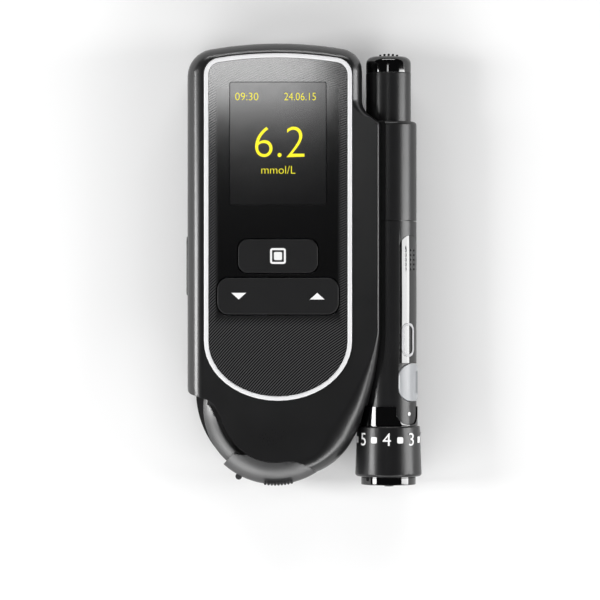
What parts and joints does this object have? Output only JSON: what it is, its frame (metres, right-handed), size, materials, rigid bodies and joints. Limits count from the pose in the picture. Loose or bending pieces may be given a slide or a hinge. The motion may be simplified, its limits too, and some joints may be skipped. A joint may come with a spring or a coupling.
{
  "type": "blood glucose meter",
  "caption": "Hand-held blood glucose meter with colour display, menu and rocker keys, turning tip cover, tape cassette and a lancing pen docked on its side.",
  "frame": {"origin": "centre of the footprint on the back rest plane, the meter lying on its back", "axes": "+X to the pen's side, +Y up the length to the display end, +Z out of the front face"},
  "size_m": [0.0644, 0.1208, 0.02],
  "materials": {
    "shell_black": "fine satin moulded plastic with soft sheen",
    "rear_black": "fine textured moulded plastic",
    "satin_grey": "smooth satin plastic",
    "panel_gloss": "high gloss black with a fine fanned stripe print",
    "window_glass": "dark clear window over a glowing display",
    "ring_silver": "satin silver plating",
    "key_black": "fine textured key face with white print",
    "frame_grey": "moulded inner plastic",
    "membrane_rubber": "silicone rubber",
    "board_green": "printed circuit board",
    "chip_black": "moulded chip packages",
    "steel_bright": "bright steel",
    "brass_gear": "machined brass",
    "white_plastic": "white acetal",
    "cassette_grey": "pale blue grey moulding",
    "tape_white": "coated test tape",
    "cell_wrap": "foil wrapped battery cell",
    "pen_black": "fine satin moulded plastic",
    "pen_gloss": "piano black gloss",
    "pad_silver": "raised pale symbol",
    "dot_white": "printed white dot",
    "lever_clear": "milky translucent plastic",
    "dial_black": "satin plastic with printed white numbers",
    "lancet_blue": "lancet bodies"
  },
  "bodies": {
    "meter": {"front_housing": "shell_black", "rear_housing": "rear_black", "nose_track": "satin_grey", "inner_frame": "frame_grey", "front_panel": "panel_gloss", "display_window": "window_glass", "trim_ring": "ring_silver", "display_module": "frame_grey", "keypad_membrane": "membrane_rubber", "main_board": "board_green", "board_chips": "chip_black", "buzzer": "chip_black", "optics_module": "frame_grey", "drive_motor": "steel_bright", "cassette_case": "cassette_grey", "cassette_lid": "cassette_grey", "test_tape": "tape_white", "cover_hinge_pin": "steel_bright", "battery_tray": "frame_grey", "battery_contacts": "steel_bright", "battery_springs": "steel_bright", "batteries": "cell_wrap", "release_spring": "steel_bright", "housing_screws": "steel_bright"},
    "menu_key": {"menu_button": "key_black"},
    "rocker_key": {"rocker_button": "key_black"},
    "side_button": {"release_button": "shell_black"},
    "tip_guard": {"tip_cover": "satin_grey"},
    "back_door": {"cassette_cover": "rear_black"},
    "cell_door": {"battery_cover": "rear_black"},
    "gear_body": {"drive_gear": "white_plastic"},
    "pinion_body": {"pinion": "brass_gear"},
    "take_up_body": {"take_up_reel": "white_plastic"},
    "supply_body": {"supply_reel": "white_plastic"},
    "pen": {"pen_upper_barrel": "pen_black", "pen_lower_barrel": "pen_black", "pen_rail": "pen_black", "side_inlay": "pen_gloss", "symbol_pad": "pad_silver", "index_dot": "dot_white", "hammer": "steel_bright", "return_spring": "steel_bright"},
    "pen_plunger": {"plunger": "pen_black", "plunger_cap": "pen_gloss", "drive_spring": "steel_bright"},
    "pen_lever_body": {"pen_lever": "lever_clear"},
    "drum_body": {"lancet_drum": "white_plastic", "lancets": "lancet_blue"},
    "pen_cap": {"cap_sleeve": "pen_gloss", "cap_nose": "pen_gloss"},
    "dial_body": {"depth_dial": "dial_black"}
  },
  "joints": [
    {"name": "menu_press", "type": "slide", "parent": "meter", "child": "menu_key", "axis": [0, 0, -1], "range_m": [0, 0.0005], "stiffness_N_per_m": 1500},
    {"name": "rocker_tilt", "type": "hinge", "parent": "meter", "child": "rocker_key", "pos_m": [-0.00713, -0.0086, 0.0162], "axis": [0, 1, 0], "range_deg": [-2, 2], "stiffness_Nm_per_rad": 0.5},
    {"name": "release_press", "type": "slide", "parent": "meter", "child": "side_button", "axis": [1, 0, 0], "range_m": [0, 0.0008], "stiffness_N_per_m": 1500},
    {"name": "tip_cover_turn", "type": "hinge", "parent": "meter", "child": "tip_guard", "pos_m": [-0.00794, -0.03914, 0.012], "axis": [0, 0, -1], "range_deg": [0, 34]},
    {"name": "cassette_cover_swing", "type": "hinge", "parent": "meter", "child": "back_door", "pos_m": [0.01057, -0.021, 0.0019], "axis": [0, -1, 0], "range_deg": [0, 95]},
    {"name": "battery_cover_slide", "type": "slide", "parent": "meter", "child": "cell_door", "axis": [0, 1, 0], "range_m": [0, 0.05]},
    {"name": "drive_gear_spin", "type": "hinge", "parent": "meter", "child": "gear_body", "pos_m": [-0.014, -0.014, 0.0124], "axis": [0, 0, 1], "continuous": true},
    {"name": "pinion_spin", "type": "hinge", "parent": "meter", "child": "pinion_body", "pos_m": [-0.02, -0.0002, 0.0124], "axis": [0, 0, 1], "continuous": true},
    {"name": "take_up_spin", "type": "hinge", "parent": "meter", "child": "take_up_body", "pos_m": [-0.014, -0.014, 0.007], "axis": [0, 0, 1], "continuous": true},
    {"name": "supply_spin", "type": "hinge", "parent": "meter", "child": "supply_body", "pos_m": [-0.001, -0.029, 0.007], "axis": [0, 0, 1], "continuous": true},
    {"name": "pen_detach", "type": "slide", "parent": "meter", "child": "pen", "axis": [0, -1, 0], "range_m": [0, 0.06]},
    {"name": "plunger_press", "type": "slide", "parent": "pen", "child": "pen_plunger", "axis": [0, -1, 0], "range_m": [0, 0.006], "stiffness_N_per_m": 600},
    {"name": "lever_swing", "type": "hinge", "parent": "pen", "child": "pen_lever_body", "pos_m": [0.0231, -0.032, 0.01], "axis": [0, 1, 0], "range_deg": [0, 22], "stiffness_Nm_per_rad": 0.02},
    {"name": "drum_index", "type": "hinge", "parent": "pen", "child": "drum_body", "pos_m": [0.0231, -0.048, 0.01], "axis": [0, 1, 0], "range_deg": [0, 60]},
    {"name": "cap_pull", "type": "slide", "parent": "pen", "child": "pen_cap", "axis": [0, -1, 0], "range_m": [0, 0.025]},
    {"name": "dial_turn", "type": "hinge", "parent": "pen_cap", "child": "dial_body", "pos_m": [0.0231, -0.051, 0.01], "axis": [0, 1, 0], "range_deg": [-117.5, 117.5]}
  ],
  "couplings": [
    {"joint": "pinion_spin", "follows": "drive_gear_spin", "ratio": -3.3},
    {"joint": "take_up_spin", "follows": "drive_gear_spin", "ratio": 1},
    {"joint": "supply_spin", "follows": "drive_gear_spin", "ratio": 0.851},
    {"joint": "drum_index", "follows": "lever_swing", "ratio": 2.727}
  ]
}
